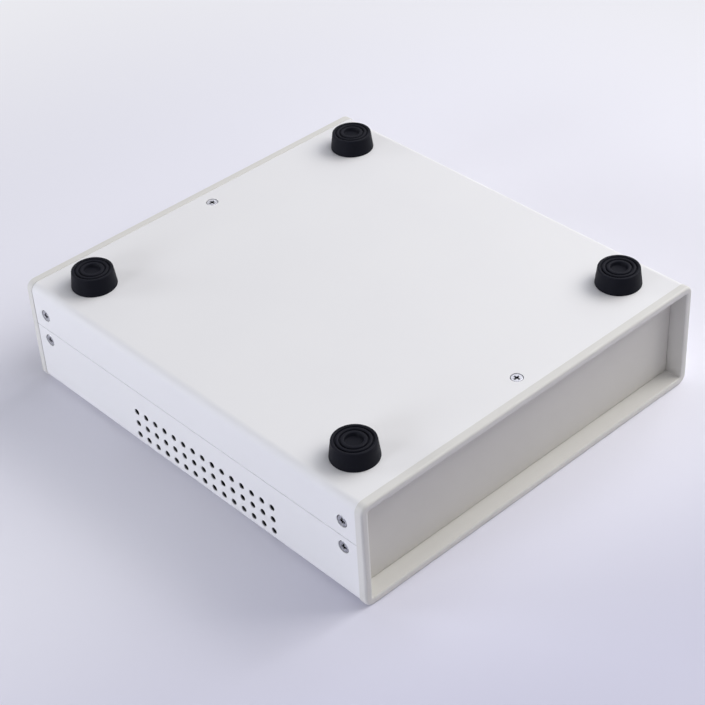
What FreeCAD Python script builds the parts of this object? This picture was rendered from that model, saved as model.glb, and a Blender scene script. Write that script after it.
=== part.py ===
"""Desktop instrument case: two folded steel shells held between two moulded bezels.

The case lies on its cover, with the feet up. X runs across its width, Y from its front
to its rear, and Z up. The origin is on the surface that it lies on, below its middle.
All sizes are in millimetres.
"""

import FreeCAD
import Part
import math
import os

# Whole case
bezel_width = 200.0
bezel_height = 53.6
case_depth = 220.0

# Folded shells
sheet = 1.2
bend_radius = 4.0
shell_inset = 0.3
shell_end_gap = 0.1
seam_drop = 21.5
seam_gap = 0.2
backing_reach = 5.0
backing_end_gap = 1.0

# Ventilation holes in both legs of the cover
vent_diameter = 3.0
vent_pitch = 6.4
vent_columns = 15
vent_rows = 3
vent_above_cover = 6.3
vent_field_offset = -9.8

# Bezel mouldings
band_depth = 4.0
rim_wall = 3.6
rim_edge_round = 1.0
mouth_edge_break = 0.6
mouth_corner_radius = 1.4
recess_depth = 8.2
recess_draft_degrees = 2.0
spigot_clearance = 0.1
spigot_wall = 2.0
spigot_reach = 12.5
spigot_lead_in = 0.5
ledge_width = 2.5
ledge_thickness = 2.0
lug_radius = 3.5
lug_tip_cover = 1.3

# Plain panel in each bezel
panel_thickness = 1.5
panel_clearance = 0.1

# Countersunk machine screws
screw_diameter = 3.0
screw_length = 8.0
screw_head_diameter = 5.6
screw_head_land = 0.1
screw_sunk = 0.15
screw_point = 0.5
screw_clearance = 0.05
screw_from_shell_end = 7.9
base_screw_above_seam = 8.05
cover_screw_below_seam = 5.65

# Rubber feet
foot_diameter = 21.0
foot_face_diameter = 18.9
foot_height = 8.4
foot_edge_break = 0.4
foot_from_side = 20.5
foot_from_end = 24.9
foot_groove_radius = 7.75
foot_groove_width = 0.5
foot_groove_depth = 0.4
foot_recess_radius = 4.0
foot_recess_floor_radius = 3.1
foot_recess_depth = 1.0
foot_stem_diameter = 4.8
foot_hole_clearance = 0.1
foot_barb_diameter = 6.4
foot_barb_land = 0.8
foot_barb_length = 3.2
foot_barb_tip_diameter = 3.0

# Sides of the small round forms that repeat, which keep the model light
vent_sides = 10
screw_sides = 12
foot_sides = 24

# How far a cutter stands out of what it cuts
cut_margin = 1.0

# Places that follow from the sizes
half_depth = case_depth / 2
mid_height = bezel_height / 2
shell_width = bezel_width - 2 * shell_inset
shell_height = bezel_height - 2 * shell_inset
cover_face_z = shell_inset
base_face_z = bezel_height - shell_inset
seam_z = base_face_z - seam_drop
shell_half_length = half_depth - band_depth - shell_end_gap
bezel_corner_radius = bend_radius + shell_inset

mouth_width = bezel_width - 2 * rim_wall
mouth_height = bezel_height - 2 * rim_wall
recess_taper = recess_depth * math.tan(math.radians(recess_draft_degrees))
pocket_width = mouth_width - 2 * recess_taper
pocket_height = mouth_height - 2 * recess_taper
pocket_corner_radius = mouth_corner_radius - recess_taper
ledge_front = recess_depth + panel_thickness
ledge_rear = ledge_front + ledge_thickness

spigot_inset = sheet + spigot_clearance
spigot_width = shell_width - 2 * spigot_inset
spigot_height = shell_height - 2 * spigot_inset
spigot_corner_radius = bend_radius - spigot_inset
spigot_rear = band_depth + spigot_reach

screw_y = shell_half_length - screw_from_shell_end
screw_from_front = half_depth - screw_y
screw_bore_radius = screw_diameter / 2 + screw_clearance
sink_radius = screw_head_diameter / 2 + screw_head_land + screw_sunk + screw_clearance
lug_reach = screw_sunk + screw_length + lug_tip_cover

foot_x = bezel_width / 2 - foot_from_side
foot_y = half_depth - foot_from_end
foot_hole_radius = foot_stem_diameter / 2 + foot_hole_clearance


def on_circle(centre, radius, angle):
    """Point on a circle that stands upright across the case's depth."""
    offset = FreeCAD.Vector(math.cos(angle), 0, math.sin(angle)) * radius
    return centre + offset


def outline(width, height, radius, from_front):
    """Wire of a rectangle with round corners, about the case's middle line.

    from_front is how far its plane lies behind the front face.
    """
    y = from_front - half_depth
    corners = []
    for x_sign, z_sign in ((1, 1), (-1, 1), (-1, -1), (1, -1)):
        x = x_sign * (width / 2 - radius)
        z = mid_height + z_sign * (height / 2 - radius)
        turn = len(corners) * math.pi / 2
        centre = FreeCAD.Vector(x, y, z)
        corners.append([on_circle(centre, radius, turn + step * math.pi / 4) for step in range(3)])
    edges = []
    for index, corner in enumerate(corners):
        following = corners[(index + 1) % len(corners)]
        edges.append(Part.Arc(*corner).toShape())
        edges.append(Part.makeLine(corner[-1], following[0]))
    return Part.Wire(edges)


def prism(width, height, radius, start, end):
    """Straight block with that outline, between two distances from the front face."""
    face = Part.Face(outline(width, height, radius, start))
    return face.extrude(FreeCAD.Vector(0, end - start, 0))


def block(width, height, start, end):
    """Square-cornered block about the case's middle line, between two such distances."""
    box = Part.makeBox(width, end - start, height)
    box.translate(FreeCAD.Vector(-width / 2, start - half_depth, mid_height - height / 2))
    return box


def turned(profile, sides):
    """Round form about Z with flat sides, from (radius, z) corners that end on the axis."""
    step = 2 * math.pi / sides
    faces = []
    for side in range(sides):
        near = FreeCAD.Vector(math.cos(side * step), math.sin(side * step), 0)
        far = FreeCAD.Vector(math.cos((side + 1) * step), math.sin((side + 1) * step), 0)
        for (radius, z), (next_radius, next_z) in zip(profile, profile[1:]):
            height = FreeCAD.Vector(0, 0, z)
            next_height = FreeCAD.Vector(0, 0, next_z)
            corners = [near * radius + height, near * next_radius + next_height]
            if next_radius > 0:
                corners.append(far * next_radius + next_height)
            if radius > 0:
                corners.append(far * radius + height)
            faces.append(Part.Face(Part.makePolygon(corners + corners[:1])))
    return Part.Solid(Part.Shell(faces)).removeSplitter()


def placed(shape, point, outward):
    """Copy of a shape that was built along +Z, set on a point and facing outward."""
    turn = FreeCAD.Rotation(FreeCAD.Vector(0, 0, 1), outward)
    copy = shape.copy()
    copy.Placement = FreeCAD.Placement(point, turn)
    return copy


def foot_sites():
    """Name of each foot and its point on the base plate's outer face."""
    sites = []
    for side, x_sign in (("left", -1), ("right", 1)):
        for end, y_sign in (("front", -1), ("rear", 1)):
            point = FreeCAD.Vector(x_sign * foot_x, y_sign * foot_y, base_face_z)
            sites.append((f"foot_{side}_{end}", point))
    return sites


def screw_sites():
    """Name, point on the shell's outer face and outward direction of each screw."""
    legs = (("base_leg", base_screw_above_seam), ("cover_leg", -cover_screw_below_seam))
    sites = []
    for end, y_sign in (("front", -1), ("rear", 1)):
        y = y_sign * screw_y
        point = FreeCAD.Vector(0, y, base_face_z)
        sites.append((f"screw_base_plate_{end}", point, FreeCAD.Vector(0, 0, 1)))
        for side, x_sign in (("left", -1), ("right", 1)):
            for leg, above_seam in legs:
                point = FreeCAD.Vector(x_sign * shell_width / 2, y, seam_z + above_seam)
                outward = FreeCAD.Vector(x_sign, 0, 0)
                sites.append((f"screw_{leg}_{side}_{end}", point, outward))
    return sites


def folded_side(half_width, face_z, edge_z, radius):
    """Edges of one skin of a folded U, from its left leg round to its right leg."""
    toward_legs = math.copysign(1, edge_z - face_z)
    middle = radius * (1 - math.cos(math.pi / 4))
    left = [
        FreeCAD.Vector(-half_width, -shell_half_length, edge_z),
        FreeCAD.Vector(-half_width, -shell_half_length, face_z + toward_legs * radius),
        FreeCAD.Vector(-half_width + middle, -shell_half_length, face_z + toward_legs * middle),
        FreeCAD.Vector(-half_width + radius, -shell_half_length, face_z),
    ]
    right = [FreeCAD.Vector(-point.x, point.y, point.z) for point in left]
    return [
        Part.makeLine(left[0], left[1]),
        Part.Arc(left[1], left[2], left[3]).toShape(),
        Part.makeLine(left[3], right[3]),
        Part.Arc(right[3], right[2], right[1]).toShape(),
        Part.makeLine(right[1], right[0]),
    ]


def folded_shell(face_z, edge_z):
    """Sheet folded to a U along the case's depth, with its legs ending at edge_z."""
    into_case = math.copysign(sheet, edge_z - face_z)
    inner_half_width = shell_width / 2 - sheet
    outer = folded_side(shell_width / 2, face_z, edge_z, bend_radius)
    inner = folded_side(inner_half_width, face_z + into_case, edge_z, bend_radius - sheet)
    right_edge = Part.makeLine(outer[-1].Vertexes[-1].Point, inner[-1].Vertexes[-1].Point)
    left_edge = Part.makeLine(inner[0].Vertexes[0].Point, outer[0].Vertexes[0].Point)
    wire = Part.Wire(outer + [right_edge] + inner[::-1] + [left_edge])
    return Part.Face(wire).extrude(FreeCAD.Vector(0, 2 * shell_half_length, 0))


def screw_holes():
    """Countersink and bore of every screw, through the sheet and the lug behind it."""
    sink_depth = sink_radius - screw_bore_radius
    bore_depth = lug_reach + cut_margin
    profile = [
        (0, cut_margin),
        (sink_radius + cut_margin, cut_margin),
        (screw_bore_radius, -sink_depth),
        (screw_bore_radius, -bore_depth),
        (0, -bore_depth),
    ]
    hole = turned(profile, screw_sides)
    return [placed(hole, point, outward) for _, point, outward in screw_sites()]


def foot_holes():
    """Holes in the base plate that the stems of the feet are pushed through."""
    profile = [
        (0, cut_margin),
        (foot_hole_radius, cut_margin),
        (foot_hole_radius, -sheet - cut_margin),
        (0, -sheet - cut_margin),
    ]
    hole = turned(profile, screw_sides)
    return [placed(hole, point, FreeCAD.Vector(0, 0, 1)) for _, point in foot_sites()]


def vent_holes():
    """Rows of holes that pass through both legs of the cover."""
    length = shell_width + 2 * cut_margin
    radius = vent_diameter / 2
    drill = turned([(0, 0), (radius, 0), (radius, length), (0, length)], vent_sides)
    first_y = vent_field_offset - vent_pitch * (vent_columns - 1) / 2
    first_z = cover_face_z + vent_above_cover
    holes = []
    for row in range(vent_rows):
        for column in range(vent_columns):
            y = first_y + column * vent_pitch
            z = first_z + row * vent_pitch
            start = FreeCAD.Vector(-length / 2, y, z)
            holes.append(placed(drill, start, FreeCAD.Vector(1, 0, 0)))
    return holes


def base_shell():
    """Shallow U that carries the feet, with a strip welded behind each seam."""
    strip_half_length = half_depth - spigot_rear - backing_end_gap
    strips = []
    for x_sign in (-1, 1):
        strip = Part.makeBox(sheet, 2 * strip_half_length, 2 * backing_reach)
        middle_x = x_sign * (shell_width / 2 - 1.5 * sheet)
        corner = FreeCAD.Vector(middle_x - sheet / 2, -strip_half_length, seam_z - backing_reach)
        strip.translate(corner)
        strips.append(strip)
    shell = folded_shell(base_face_z, seam_z + seam_gap / 2).fuse(strips)
    return shell.cut(screw_holes() + foot_holes()).removeSplitter()


def top_cover():
    """Deep U with a field of ventilation holes in each leg."""
    shell = folded_shell(cover_face_z, seam_z - seam_gap / 2)
    return shell.cut(screw_holes() + vent_holes()).removeSplitter()


def edges_across(shape, from_front, half_width):
    """Edges of a shape that lie in one plane across the depth, no wider than that."""
    y = from_front - half_depth
    chosen = []
    for edge in shape.Edges:
        box = edge.BoundBox
        in_plane = max(abs(box.YMin - y), abs(box.YMax - y)) < 1e-4
        within = max(abs(box.XMin), abs(box.XMax)) < half_width + 1e-3
        if in_plane and within:
            chosen.append(edge)
    return chosen


def side_lug(x_sign):
    """Round-ended block behind the panel's edge that holds two side screws."""
    inner_x = x_sign * (shell_width / 2 - lug_reach)
    outer_x = x_sign * (spigot_width / 2 - spigot_wall / 2)
    upper = FreeCAD.Vector(inner_x, -screw_y, seam_z + base_screw_above_seam)
    lower = FreeCAD.Vector(inner_x, -screw_y, seam_z - cover_screw_below_seam)
    across = FreeCAD.Vector(0, lug_radius, 0)
    up = FreeCAD.Vector(0, 0, lug_radius)
    edges = [
        Part.Arc(upper - across, upper + up, upper + across).toShape(),
        Part.makeLine(upper + across, lower + across),
        Part.Arc(lower + across, lower - up, lower - across).toShape(),
        Part.makeLine(lower - across, upper - across),
    ]
    return Part.Face(Part.Wire(edges)).extrude(FreeCAD.Vector(outer_x - inner_x, 0, 0))


def base_lug():
    """Round boss under the base plate that holds its one screw."""
    bottom_z = base_face_z - lug_reach
    top_z = mid_height + spigot_height / 2 - spigot_wall / 2
    point = FreeCAD.Vector(0, -screw_y, bottom_z)
    return Part.makeCylinder(lug_radius, top_z - bottom_z, point)


def front_bezel():
    """Moulding with a rounded rim, a drafted recess, a panel ledge and a spigot."""
    band = prism(bezel_width, bezel_height, bezel_corner_radius, 0, band_depth)
    band = band.makeFillet(rim_edge_round, edges_across(band, 0, bezel_width / 2))
    spigot = prism(spigot_width, spigot_height, spigot_corner_radius, band_depth, spigot_rear)
    lead_in = edges_across(spigot, spigot_rear, spigot_width / 2)
    spigot = spigot.makeChamfer(spigot_lead_in, lead_in)
    hollow = block(
        spigot_width - 2 * spigot_wall,
        spigot_height - 2 * spigot_wall,
        ledge_rear,
        spigot_rear + cut_margin,
    )
    lugs = [side_lug(-1), side_lug(1), base_lug()]
    body = band.fuse(spigot).cut(hollow).fuse(lugs)

    mouth = outline(mouth_width, mouth_height, mouth_corner_radius, 0)
    floor = outline(pocket_width, pocket_height, pocket_corner_radius, recess_depth)
    recess = Part.makeLoft([mouth, floor], True, True)
    pocket = prism(pocket_width, pocket_height, pocket_corner_radius, recess_depth, ledge_front)
    window = block(
        pocket_width - 2 * ledge_width,
        pocket_height - 2 * ledge_width,
        ledge_front,
        ledge_rear,
    )
    body = body.cut([recess, pocket, window.cut(lugs)])
    body = body.cut(screw_holes()).removeSplitter()
    return body.makeChamfer(mouth_edge_break, edges_across(body, 0, mouth_width / 2))


def front_panel():
    """Plain plate that is pressed into the recess against the ledge."""
    return prism(
        pocket_width - 2 * panel_clearance,
        pocket_height - 2 * panel_clearance,
        pocket_corner_radius - panel_clearance,
        recess_depth,
        ledge_front,
    )


def at_rear(shape):
    """Copy of a front piece, turned half round to the rear."""
    copy = shape.copy()
    copy.rotate(FreeCAD.Vector(0, 0, 0), FreeCAD.Vector(0, 0, 1), 180)
    return copy


def foot():
    """Round rubber foot with a ringed face, and a barbed stem below z = 0."""
    face_radius = foot_face_diameter / 2
    body = [
        (0, foot_height - foot_recess_depth),
        (foot_recess_floor_radius, foot_height - foot_recess_depth),
        (foot_recess_radius, foot_height),
        (foot_groove_radius - foot_groove_width / 2, foot_height),
        (foot_groove_radius, foot_height - foot_groove_depth),
        (foot_groove_radius + foot_groove_width / 2, foot_height),
        (face_radius - foot_edge_break, foot_height),
        (face_radius, foot_height - foot_edge_break),
        (foot_diameter / 2, 0),
        (0, 0),
    ]
    stem_radius = foot_stem_diameter / 2
    barb_radius = foot_barb_diameter / 2
    stem_end = -sheet - foot_barb_length
    stem = [
        (0, 0),
        (stem_radius, 0),
        (stem_radius, -sheet),
        (barb_radius, -sheet),
        (barb_radius, -sheet - foot_barb_land),
        (foot_barb_tip_diameter / 2, stem_end),
        (0, stem_end),
    ]
    return turned(body, foot_sides).fuse(turned(stem, screw_sides)).removeSplitter()


def screw():
    """Countersunk screw, its head just below z = 0."""
    top = -screw_sunk
    head_radius = screw_head_diameter / 2
    shank_radius = screw_diameter / 2
    cone_top = top - screw_head_land
    cone_bottom = cone_top - (head_radius - shank_radius)
    tip = top - screw_length
    profile = [
        (0, top),
        (head_radius, top),
        (head_radius, cone_top),
        (shank_radius, cone_bottom),
        (shank_radius, tip + screw_point),
        (shank_radius - screw_point, tip),
        (0, tip),
    ]
    return turned(profile, screw_sides)


def main():
    """Build every piece and write each to a file of its own."""
    bezel = front_bezel()
    panel = front_panel()
    pieces = {
        "base_shell": base_shell(),
        "top_cover": top_cover(),
        "front_bezel": bezel,
        "rear_bezel": at_rear(bezel),
        "front_panel": panel,
        "rear_panel": at_rear(panel),
    }
    one_foot = foot()
    for name, point in foot_sites():
        pieces[name] = placed(one_foot, point, FreeCAD.Vector(0, 0, 1))
    one_screw = screw()
    for name, point, outward in screw_sites():
        pieces[name] = placed(one_screw, point, outward)

    os.makedirs("parts", exist_ok=True)
    for name, shape in pieces.items():
        if not shape.isValid() or len(shape.Solids) != 1:
            raise ValueError(f"{name} isn't one sound solid")
        shape.exportStep(os.path.join("parts", f"{name}.step"))
        print(f"{name}: {shape.Volume:.1f} mm3")


if __name__ == "__main__":
    main()
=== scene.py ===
"""Looks of the desktop instrument case: shells, bezels, panels, feet, screws and studio."""

import logging
import math
from collections.abc import Iterable, Sequence
from dataclasses import dataclass, field
from enum import Enum

import bmesh
import bpy
from bmesh.types import BMEdge, BMesh, BMFace, BMVert
from mathutils import Matrix, Vector


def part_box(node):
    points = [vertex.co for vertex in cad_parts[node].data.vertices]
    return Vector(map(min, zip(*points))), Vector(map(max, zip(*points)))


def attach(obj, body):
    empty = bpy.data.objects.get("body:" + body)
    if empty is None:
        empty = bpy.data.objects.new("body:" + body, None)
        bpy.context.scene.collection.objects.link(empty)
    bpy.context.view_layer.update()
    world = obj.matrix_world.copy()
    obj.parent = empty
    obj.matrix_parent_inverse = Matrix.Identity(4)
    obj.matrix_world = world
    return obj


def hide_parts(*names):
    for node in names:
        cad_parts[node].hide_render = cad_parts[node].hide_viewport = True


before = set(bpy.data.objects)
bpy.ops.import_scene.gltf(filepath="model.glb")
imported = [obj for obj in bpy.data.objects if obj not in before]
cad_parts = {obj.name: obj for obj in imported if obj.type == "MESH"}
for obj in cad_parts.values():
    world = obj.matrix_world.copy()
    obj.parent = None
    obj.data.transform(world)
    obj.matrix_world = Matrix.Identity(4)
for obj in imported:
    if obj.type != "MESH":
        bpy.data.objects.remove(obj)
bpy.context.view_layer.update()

log = logging.getLogger("instrument_case")

BODY = "root"
PHOTO_SIDE = 705
SENSOR_WIDTH = 36.0
SHARP_EDGE_ANGLE = math.radians(40)
PAINTED_SHADE_DEPTH = "painted_shade_depth"
PLAN_MAP = "plan_mm"
PLAN_SCALE = 1000
SAME_DIRECTION = 0.999
CLOUD_SPAN = (0.3, 0.7)
UP = Vector((0, 0, 1))


def mm(length: float) -> float:
    """Millimetres in the scene's metres."""
    return length * 0.001


SAME_POINT = mm(0.001)
SAME_PLANE = mm(0.01)


class Slot(Enum):
    """Material slots of the record."""

    SHELL = "shell_powder_coat"
    BEZEL = "bezel_plastic"
    PANEL = "panel_aluminium"
    FOOT = "foot_rubber"
    SCREW = "screw_steel"


class End(Enum):
    """The two ends of the case, with the sign of their side along Y."""

    FRONT = -1
    REAR = 1

    @property
    def word(self) -> str:
        """Word for this end in the names of nodes."""
        return self.name.lower()


# Helpers for colours and node trees


def linear(hex_colour: str) -> tuple[float, float, float, float]:
    """Turn an sRGB colour into the linear values that a shader takes.

    Args:
        hex_colour: Colour such as "#e9e6df".

    Returns:
        Linear red, green and blue, and a full alpha.
    """
    channels = [int(hex_colour[start : start + 2], 16) / 255 for start in (1, 3, 5)]
    red, green, blue = (c / 12.92 if c <= 0.04045 else ((c + 0.055) / 1.055) ** 2.4 for c in channels)
    return red, green, blue, 1.0


def add_node(
    tree: bpy.types.NodeTree,
    kind: str,
    settings: dict[str, object] | None = None,
    inputs: dict[str | int, object] | None = None,
) -> bpy.types.Node:
    """Add one node with its settings, its values and its links.

    Args:
        tree: Tree that receives the node.
        kind: Blender's name of the node type.
        settings: The node's own properties.
        inputs: For each input, a value or the output that feeds it.

    Returns:
        The new node.
    """
    made = tree.nodes.new(kind)
    for name, value in (settings or {}).items():
        setattr(made, name, value)
    for key, value in (inputs or {}).items():
        if isinstance(value, bpy.types.NodeSocket):
            tree.links.new(value, made.inputs[key])
        else:
            made.inputs[key].default_value = value
    return made


def blend(
    tree: bpy.types.NodeTree, share: bpy.types.NodeSocket, low: object, high: object
) -> bpy.types.NodeSocket:
    """Mix two colours.

    Args:
        tree: Tree that receives the mix.
        share: Output that is 0 for the first colour and 1 for the second.
        low: First colour, or the output that gives it.
        high: Second colour, or the output that gives it.

    Returns:
        The mixed colour's output.
    """
    inputs = {"Factor": share, "A": low, "B": high}
    return add_node(tree, "ShaderNodeMix", {"data_type": "RGBA"}, inputs).outputs["Result"]


# Helpers for meshes


def edges_among(verts: Iterable[BMVert]) -> list[BMEdge]:
    """Edges that have both their ends among the given vertices."""
    chosen = set(verts)
    return list({e for v in chosen for e in v.link_edges if set(e.verts) <= chosen})


def grown_verts(made: dict[str, list]) -> list[BMVert]:
    """Vertices among what an extrusion has made."""
    return [item for item in made["geom"] if isinstance(item, BMVert)]


def round_off(
    bm: BMesh,
    geom: Sequence[BMEdge] | Sequence[BMVert],
    radius: float,
    segments: int,
    affect: str = "EDGES",
) -> None:
    """Round edges, or the corners of flat faces, with a circular arc.

    Args:
        bm: Mesh to change.
        geom: Edges or vertices to round.
        radius: Radius of the round.
        segments: Steps in it.
        affect: "EDGES" or "VERTICES".
    """
    bmesh.ops.bevel(
        bm,
        geom=list(geom),
        offset=radius,
        offset_type="OFFSET",
        segments=segments,
        profile=0.5,
        affect=affect,
        clamp_overlap=False,
        material=-1,
    )


def facing(direction: Vector, point: Vector) -> Matrix:
    """Placement that turns +Z to a direction and puts the origin on a point."""
    return Matrix.Translation(point) @ direction.to_track_quat("Z", "Y").to_matrix().to_4x4()


def close_up(bm: BMesh) -> None:
    """Merge doubles and turn all faces outward."""
    bmesh.ops.remove_doubles(bm, verts=bm.verts, dist=SAME_POINT)
    bmesh.ops.recalc_face_normals(bm, faces=bm.faces)


def show(
    bm: BMesh, name: str, material: bpy.types.Material, node: str
) -> bpy.types.Object:
    """Turn a finished mesh into a piece that stands for one CAD node.

    Args:
        bm: Mesh in its place in the frame; it is freed here.
        name: Name of the piece.
        material: Finish of the whole piece.
        node: CAD node that it replaces.

    Returns:
        The piece, at the origin and riding on the case.
    """
    mesh = bpy.data.meshes.new(name)
    bm.to_mesh(mesh)
    bm.free()
    mesh.shade_smooth()
    mesh.set_sharp_from_angle(angle=SHARP_EDGE_ANGLE)
    mesh.materials.append(material)
    piece = bpy.data.objects.new(name, mesh)
    bpy.context.scene.collection.objects.link(piece)
    # Large flats keep their own direction, and only the rounds beside them turn the light
    weighted = piece.modifiers.new("flat_faces_lead", "WEIGHTED_NORMAL")
    weighted.mode = "FACE_AREA"
    weighted.weight = 100
    weighted.keep_sharp = True
    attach(piece, BODY)
    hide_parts(node)
    log.info("%s: %d faces, stands for %s", name, len(mesh.polygons), node)
    return piece


# Sizes that several pieces share


@dataclass
class CaseSizes:
    """Places that several pieces share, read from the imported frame."""

    sheet: float = mm(1.2)
    bend_radius: float = mm(4.0)
    seam_gap: float = mm(0.2)
    middle_z: float = field(init=False)
    half_width: float = field(init=False)
    half_height: float = field(init=False)
    half_depth: float = field(init=False)
    shell_half_width: float = field(init=False)
    shell_half_length: float = field(init=False)
    base_face_z: float = field(init=False)
    base_edge_z: float = field(init=False)
    cover_face_z: float = field(init=False)
    cover_edge_z: float = field(init=False)
    bezel_back: float = field(init=False)
    backing_low_z: float = field(init=False)

    def __post_init__(self) -> None:
        """Read the places from the nodes' boxes."""
        bezel_low, bezel_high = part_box("front_bezel")
        base_low, base_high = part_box("base_shell")
        cover_low, cover_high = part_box("top_cover")
        self.middle_z = (bezel_low.z + bezel_high.z) / 2
        self.half_width = bezel_high.x
        self.half_height = (bezel_high.z - bezel_low.z) / 2
        self.half_depth = -bezel_low.y
        self.bezel_back = -bezel_high.y
        self.shell_half_width = base_high.x
        self.shell_half_length = base_high.y
        self.base_face_z = base_high.z
        self.cover_face_z = cover_low.z
        self.cover_edge_z = cover_high.z
        self.backing_low_z = base_low.z
        self.base_edge_z = self.cover_edge_z + self.seam_gap

    @property
    def corner_radius(self) -> float:
        """Corner radius of the bezels, concentric with the bends of the shells."""
        return self.bend_radius + self.half_width - self.shell_half_width


def node_middle(node: str) -> Vector:
    """Middle of a CAD node's box."""
    low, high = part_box(node)
    return (low + high) / 2


@dataclass(frozen=True)
class Site:
    """Place of a foot or screw: its point on the shell's outer face, and outward."""

    node: str
    point: Vector
    outward: Vector


def sites(prefix: str, sizes: CaseSizes) -> list[Site]:
    """Find the places of the CAD nodes whose names start with a prefix.

    Args:
        prefix: Start of the node names, such as "foot_".
        sizes: Shared places of the case.

    Returns:
        One site for each node, in the order of the names.
    """
    found = []
    for node in sorted(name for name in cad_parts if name.startswith(prefix)):
        middle = node_middle(node)
        if "leg" in node:
            outward = Vector((math.copysign(1, middle.x), 0, 0))
            middle.x = outward.x * sizes.shell_half_width
        else:
            outward = UP.copy()
            middle.z = sizes.base_face_z
        found.append(Site(node, middle, outward))
    return found


# Folded shells


@dataclass(frozen=True)
class Hole:
    """Round hole through a flat of a shell, as (radius, depth) rings from outside in."""

    point: Vector
    outward: Vector
    rings: tuple[tuple[float, float], ...]
    sides: int


@dataclass
class FoldedShell:
    """Sheet steel folded to a U along the case's depth, powder coated."""

    sizes: CaseSizes
    node: str
    piece_name: str
    face_z: float
    edge_z: float
    bend_steps: int = 16
    edge_round: float = mm(0.25)
    end_round: float = mm(0.06)
    end_reach: float = mm(0.08)
    edge_steps: int = 3
    screw_sink_rings: tuple[tuple[float, float], ...] = (
        (mm(3.0), 0.0),
        (mm(2.95), mm(0.03)),
        (mm(2.91), mm(0.1)),
        (mm(2.85), mm(0.6)),
        (mm(1.9), mm(1.2)),
    )
    screw_sink_sides: int = 40

    @property
    def into_case(self) -> float:
        """Sign along Z from the outer face of the plate into the case."""
        return math.copysign(1, self.edge_z - self.face_z)

    def folded_sheet(self) -> BMesh:
        """Make the folded sheet without its holes.

        Returns:
            A closed mesh whose flats are single faces.
        """
        bm = bmesh.new()
        outer, inner = self.sizes.shell_half_width, self.sizes.shell_half_width - self.sizes.sheet
        inner_z = self.face_z + self.into_case * self.sizes.sheet
        end_y = -self.sizes.shell_half_length - self.end_reach + self.end_round
        outer_bends = [bm.verts.new((x, end_y, self.face_z)) for x in (-outer, outer)]
        inner_bends = [bm.verts.new((x, end_y, inner_z)) for x in (inner, -inner)]
        right_edge = [bm.verts.new((x, end_y, self.edge_z)) for x in (outer, inner)]
        left_edge = [bm.verts.new((x, end_y, self.edge_z)) for x in (-inner, -outer)]
        bm.faces.new(outer_bends + right_edge + inner_bends + left_edge)
        round_off(bm, outer_bends, self.sizes.bend_radius, self.bend_steps, "VERTICES")
        inner_radius = self.sizes.bend_radius - self.sizes.sheet
        round_off(bm, inner_bends, inner_radius, self.bend_steps, "VERTICES")
        round_off(bm, right_edge + left_edge, self.edge_round, self.edge_steps, "VERTICES")
        section = max(bm.faces, key=BMFace.calc_area)
        far = grown_verts(bmesh.ops.extrude_face_region(bm, geom=[section]))
        bmesh.ops.translate(bm, verts=far, vec=(0, -2 * end_y, 0))
        bmesh.ops.recalc_face_normals(bm, faces=bm.faces)
        self.soften_ends(bm)
        return bm

    def soften_ends(self, bm: BMesh) -> None:
        """Round the two U-shaped ends of the sheet over, by insets that stand out.

        Args:
            bm: The folded sheet.
        """
        step = math.pi / 2 / self.edge_steps
        for sign in (-1, 1):
            end = max(bm.faces, key=lambda f: sign * f.calc_center_median().y)
            for index in range(self.edge_steps):
                inset = math.cos(index * step) - math.cos((index + 1) * step)
                rise = math.sin((index + 1) * step) - math.sin(index * step)
                bmesh.ops.inset_region(
                    bm,
                    faces=[end],
                    thickness=self.end_round * inset,
                    depth=self.end_round * rise,
                    use_even_offset=True,
                    use_boundary=True,
                )
            bmesh.ops.triangulate(bm, faces=[end], ngon_method="BEAUTY")

    def flat(self, bm: BMesh, normal: Vector, place: float) -> BMFace:
        """Find one flat of the folded sheet.

        Args:
            bm: The folded sheet.
            normal: Direction that the flat faces.
            place: Distance of its plane from the origin along that direction.

        Returns:
            The largest face there.
        """
        level = [
            f
            for f in bm.faces
            if f.normal.dot(normal) > SAME_DIRECTION
            and abs(f.verts[0].co.dot(normal) - place) < SAME_PLANE
        ]
        return max(level, key=BMFace.calc_area)

    def drill(self, bm: BMesh, holes: Sequence[Hole]) -> None:
        """Cut round holes that share one flat through the sheet.

        Args:
            bm: The folded sheet.
            holes: Holes whose outward directions are the same.
        """
        outward = holes[0].outward
        outside = self.flat(bm, outward, holes[0].point.dot(outward))
        inside = self.flat(bm, -outward, self.sizes.sheet - holes[0].point.dot(outward))
        outer_edges, inner_edges = list(outside.edges), list(inside.edges)
        bmesh.ops.delete(bm, geom=[outside, inside], context="FACES_ONLY")
        for hole in holes:
            place = facing(outward, hole.point)
            radius, depth = hole.rings[0]
            circle = bmesh.ops.create_circle(
                bm, cap_ends=False, radius=radius, segments=hole.sides, matrix=place
            )
            loop = edges_among(circle["verts"])
            outer_edges += loop
            for next_radius, next_depth in hole.rings[1:]:
                verts = grown_verts(bmesh.ops.extrude_edge_only(bm, edges=loop))
                share = next_radius / radius
                bmesh.ops.scale(bm, verts=verts, vec=(share, share, share), space=place.inverted())
                bmesh.ops.translate(bm, verts=verts, vec=outward * (depth - next_depth))
                place = facing(outward, hole.point - outward * next_depth)
                radius, depth = next_radius, next_depth
                loop = edges_among(verts)
            inner_edges += loop
        bmesh.ops.triangle_fill(bm, use_beauty=True, edges=outer_edges, normal=outward)
        bmesh.ops.triangle_fill(bm, use_beauty=True, edges=inner_edges, normal=-outward)

    def screw_holes(self, prefix: str) -> list[Hole]:
        """Countersinks of the screws whose node names start with a prefix.

        Args:
            prefix: Start of the node names.

        Returns:
            One hole for each screw.
        """
        return [
            Hole(site.point, site.outward, self.screw_sink_rings, self.screw_sink_sides)
            for site in sites(prefix, self.sizes)
        ]

    def holes(self) -> list[Hole]:
        """All the holes of this shell."""
        raise NotImplementedError

    def extras(self, bm: BMesh) -> None:
        """Add what is welded to the sheet; a plain shell has nothing."""

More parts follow.
